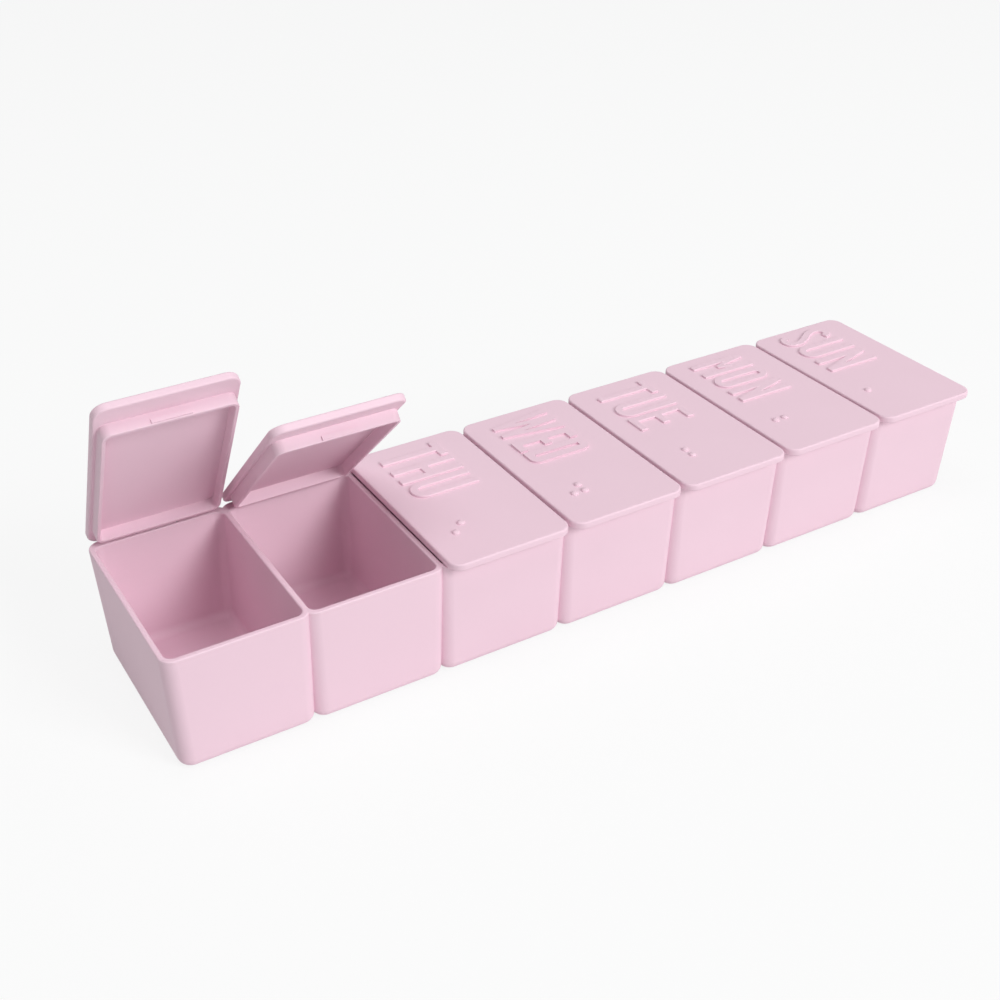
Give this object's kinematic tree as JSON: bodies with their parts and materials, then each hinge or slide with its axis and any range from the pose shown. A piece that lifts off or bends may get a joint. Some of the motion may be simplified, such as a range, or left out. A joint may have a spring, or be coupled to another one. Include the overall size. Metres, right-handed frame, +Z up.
{
  "type": "weekly pill organizer",
  "caption": "Long one-piece tray of tapered cups in a row, each closed by a flip lid on its own rear hinge pin, with a snap bar at the front of the lid.",
  "frame": {"origin": "middle of the underside of the middle cup", "axes": "+X along the row towards the Sunday end, +Y to the hinge side, +Z up"},
  "size_m": [0.2244, 0.056, 0.0764],
  "materials": {
    "pink_plastic": "fine satin moulded plastic",
    "pin_steel": "plain drawn wire"
  },
  "bodies": {
    "tray": {"tray": "pink_plastic", "saturday_hinge_pin": "pin_steel", "friday_hinge_pin": "pin_steel", "thursday_hinge_pin": "pin_steel", "wednesday_hinge_pin": "pin_steel", "tuesday_hinge_pin": "pin_steel", "monday_hinge_pin": "pin_steel", "sunday_hinge_pin": "pin_steel"},
    "saturday_lid": {"saturday_lid": "pink_plastic"},
    "friday_lid": {"friday_lid": "pink_plastic"},
    "thursday_lid": {"thursday_lid": "pink_plastic"},
    "wednesday_lid": {"wednesday_lid": "pink_plastic"},
    "tuesday_lid": {"tuesday_lid": "pink_plastic"},
    "monday_lid": {"monday_lid": "pink_plastic"},
    "sunday_lid": {"sunday_lid": "pink_plastic"}
  },
  "joints": [
    {"name": "saturday_lid_hinge", "type": "hinge", "parent": "tray", "child": "saturday_lid", "pos_m": [-0.096, 0.02465, 0.0292], "axis": [-1, 0, 0], "range_deg": [-59.5, 70.5]},
    {"name": "friday_lid_hinge", "type": "hinge", "parent": "tray", "child": "friday_lid", "pos_m": [-0.064, 0.02465, 0.0292], "axis": [-1, 0, 0], "range_deg": [-43.8, 86.2]},
    {"name": "thursday_lid_hinge", "type": "hinge", "parent": "tray", "child": "thursday_lid", "pos_m": [-0.032, 0.02465, 0.0292], "axis": [-1, 0, 0], "range_deg": [0, 130]},
    {"name": "wednesday_lid_hinge", "type": "hinge", "parent": "tray", "child": "wednesday_lid", "pos_m": [0, 0.02465, 0.0292], "axis": [-1, 0, 0], "range_deg": [0, 130]},
    {"name": "tuesday_lid_hinge", "type": "hinge", "parent": "tray", "child": "tuesday_lid", "pos_m": [0.032, 0.02465, 0.0292], "axis": [-1, 0, 0], "range_deg": [0, 130]},
    {"name": "monday_lid_hinge", "type": "hinge", "parent": "tray", "child": "monday_lid", "pos_m": [0.064, 0.02465, 0.0292], "axis": [-1, 0, 0], "range_deg": [0, 130]},
    {"name": "sunday_lid_hinge", "type": "hinge", "parent": "tray", "child": "sunday_lid", "pos_m": [0.096, 0.02465, 0.0292], "axis": [-1, 0, 0], "range_deg": [0, 130]}
  ]
}
